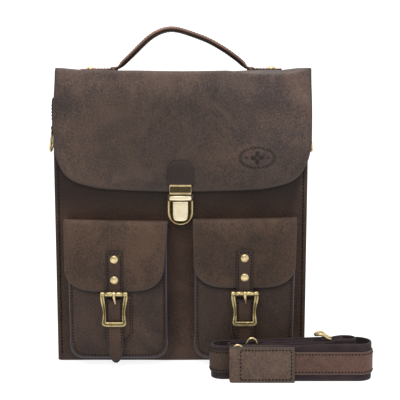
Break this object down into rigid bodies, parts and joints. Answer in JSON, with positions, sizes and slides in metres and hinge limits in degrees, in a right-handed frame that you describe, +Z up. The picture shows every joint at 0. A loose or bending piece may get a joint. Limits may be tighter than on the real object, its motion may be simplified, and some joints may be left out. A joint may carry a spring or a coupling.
{
  "type": "satchel bag",
  "caption": "Leather satchel with a folding flap and push lock, buckled front pockets, top handle, side D-rings and a loose shoulder strap.",
  "frame": {"origin": "centre of the bag's flat base, on the surface it stands on", "axes": "+Z up, -Y is the front with the flap and pockets, +X is to the right seen from the front"},
  "size_m": [0.3927, 0.1905, 0.4198],
  "materials": {
    "body_leather": "distressed pull-up leather, dark brown",
    "flap_leather": "distressed pull-up leather, brown, lighter where bent",
    "handle_leather": "stitched leather with burnished edges",
    "pocket_leather": "distressed pull-up leather",
    "strap_dark_leather": "stitched strap leather",
    "red_leather": "reddish-brown strap leather",
    "sheath_leather": "olive-brown leather",
    "webbing": "woven cotton webbing",
    "lining_cloth": "woven lining cloth",
    "antique_brass": "antique brass, bright on edges",
    "dark_brass": "dark antique brass",
    "spring_steel": "bare steel"
  },
  "bodies": {
    "bag_body": {"back_panel": "body_leather", "front_panel": "body_leather", "gusset_left": "body_leather", "gusset_right": "body_leather", "base_panel": "body_leather", "lining": "lining_cloth", "divider": "lining_cloth", "lock_base": "dark_brass", "lock_frame": "antique_brass", "lock_bridge": "antique_brass", "lock_spring": "spring_steel", "side_tab_left": "body_leather", "side_tab_right": "body_leather", "pocket_shell_left": "pocket_leather", "pocket_shell_right": "pocket_leather", "snap_patch_left": "pocket_leather", "snap_patch_right": "pocket_leather", "snap_stud_left": "antique_brass", "snap_stud_right": "antique_brass"},
    "main_flap_top": {"flap_top": "flap_leather", "handle_tab_left": "handle_leather", "handle_tab_right": "handle_leather", "handle_keeper_left": "handle_leather", "handle_keeper_right": "handle_leather", "handle_rivet_left": "antique_brass", "handle_rivet_right": "antique_brass"},
    "main_flap_front": {"flap_front": "flap_leather", "lock_tab": "body_leather", "hasp_plate": "antique_brass"},
    "carry_handle": {"handle_grip": "handle_leather"},
    "thumb_button": {"thumb_plate": "antique_brass"},
    "d_ring_body_left": {"d_ring_left": "antique_brass"},
    "d_ring_body_right": {"d_ring_right": "antique_brass"},
    "pocket_lid_left": {"pocket_flap_left": "flap_leather", "chape_left": "strap_dark_leather", "billet_left": "strap_dark_leather", "buckle_frame_left": "antique_brass", "strap_rivet_left_lower": "antique_brass", "strap_rivet_left_upper": "antique_brass"},
    "pocket_lid_right": {"pocket_flap_right": "flap_leather", "chape_right": "strap_dark_leather", "billet_right": "strap_dark_leather", "buckle_frame_right": "antique_brass", "strap_rivet_right_lower": "antique_brass", "strap_rivet_right_upper": "antique_brass"},
    "prong_body_left": {"prong_left": "antique_brass"},
    "roller_body_left_a": {"roller_left_a": "antique_brass"},
    "roller_body_left_b": {"roller_left_b": "antique_brass"},
    "prong_body_right": {"prong_right": "antique_brass"},
    "roller_body_right_a": {"roller_right_a": "antique_brass"},
    "roller_body_right_b": {"roller_right_b": "antique_brass"},
    "shoulder_strap": {"strap_webbing": "webbing", "strap_leather": "red_leather", "strap_sheath": "sheath_leather", "strap_ring": "antique_brass", "far_ring": "antique_brass", "snap_hook": "antique_brass"},
    "hook_gate_body": {"hook_gate": "antique_brass"}
  },
  "joints": [
    {"name": "flap_hinge", "type": "hinge", "parent": "bag_body", "child": "main_flap_top", "pos_m": [0, 0.05, 0.3655], "axis": [-1, 0, 0], "range_deg": [0, 110]},
    {"name": "flap_fold", "type": "hinge", "parent": "main_flap_top", "child": "main_flap_front", "pos_m": [0, -0.0475, 0.3655], "axis": [-1, 0, 0], "range_deg": [0, 85]},
    {"name": "handle_tilt", "type": "hinge", "parent": "main_flap_top", "child": "carry_handle", "pos_m": [0, 0, 0.3745], "axis": [1, 0, 0], "range_deg": [-70, 70]},
    {"name": "thumb_press", "type": "slide", "parent": "bag_body", "child": "thumb_button", "axis": [0, 1, 0], "range_m": [0, 0.0015], "stiffness_N_per_m": 100, "deforming": ["lock_spring"]},
    {"name": "ring_swing_left", "type": "hinge", "parent": "bag_body", "child": "d_ring_body_left", "pos_m": [-0.1625, 0, 0.2915], "axis": [0, 1, 0], "range_deg": [0, 100]},
    {"name": "ring_swing_right", "type": "hinge", "parent": "bag_body", "child": "d_ring_body_right", "pos_m": [0.1625, 0, 0.2915], "axis": [0, -1, 0], "range_deg": [0, 100]},
    {"name": "pocket_lift_left", "type": "hinge", "parent": "bag_body", "child": "pocket_lid_left", "pos_m": [-0.0786, -0.0505, 0.184], "axis": [-1, 0, 0], "range_deg": [0, 80]},
    {"name": "pocket_lift_right", "type": "hinge", "parent": "bag_body", "child": "pocket_lid_right", "pos_m": [0.0786, -0.0505, 0.184], "axis": [-1, 0, 0], "range_deg": [0, 80], "deforming": ["billet_right"]},
    {"name": "prong_swing_left", "type": "hinge", "parent": "pocket_lid_left", "child": "prong_body_left", "pos_m": [-0.0794, -0.0896, 0.0935], "axis": [-1, 0, 0], "range_deg": [0, 110]},
    {"name": "roller_turn_left_a", "type": "hinge", "parent": "pocket_lid_left", "child": "roller_body_left_a", "pos_m": [-0.0794, -0.0896, 0.0935], "axis": [1, 0, 0], "continuous": true},
    {"name": "roller_turn_left_b", "type": "hinge", "parent": "pocket_lid_left", "child": "roller_body_left_b", "pos_m": [-0.0794, -0.0896, 0.0935], "axis": [1, 0, 0], "continuous": true},
    {"name": "prong_swing_right", "type": "hinge", "parent": "pocket_lid_right", "child": "prong_body_right", "pos_m": [0.0794, -0.0896, 0.0935], "axis": [-1, 0, 0], "range_deg": [0, 110]},
    {"name": "roller_turn_right_a", "type": "hinge", "parent": "pocket_lid_right", "child": "roller_body_right_a", "pos_m": [0.0794, -0.0896, 0.0935], "axis": [1, 0, 0], "continuous": true},
    {"name": "roller_turn_right_b", "type": "hinge", "parent": "pocket_lid_right", "child": "roller_body_right_b", "pos_m": [0.0794, -0.0896, 0.0935], "axis": [1, 0, 0], "continuous": true},
    {"name": "strap_slide", "type": "slide", "parent": "bag_body", "child": "shoulder_strap", "axis": [0, -1, 0], "range_m": [0, 0.2]},
    {"name": "gate_swing", "type": "hinge", "parent": "shoulder_strap", "child": "hook_gate_body", "pos_m": [0.17975, -0.11888, 0.0459], "axis": [0, 0, 1], "range_deg": [0, 25]}
  ]
}
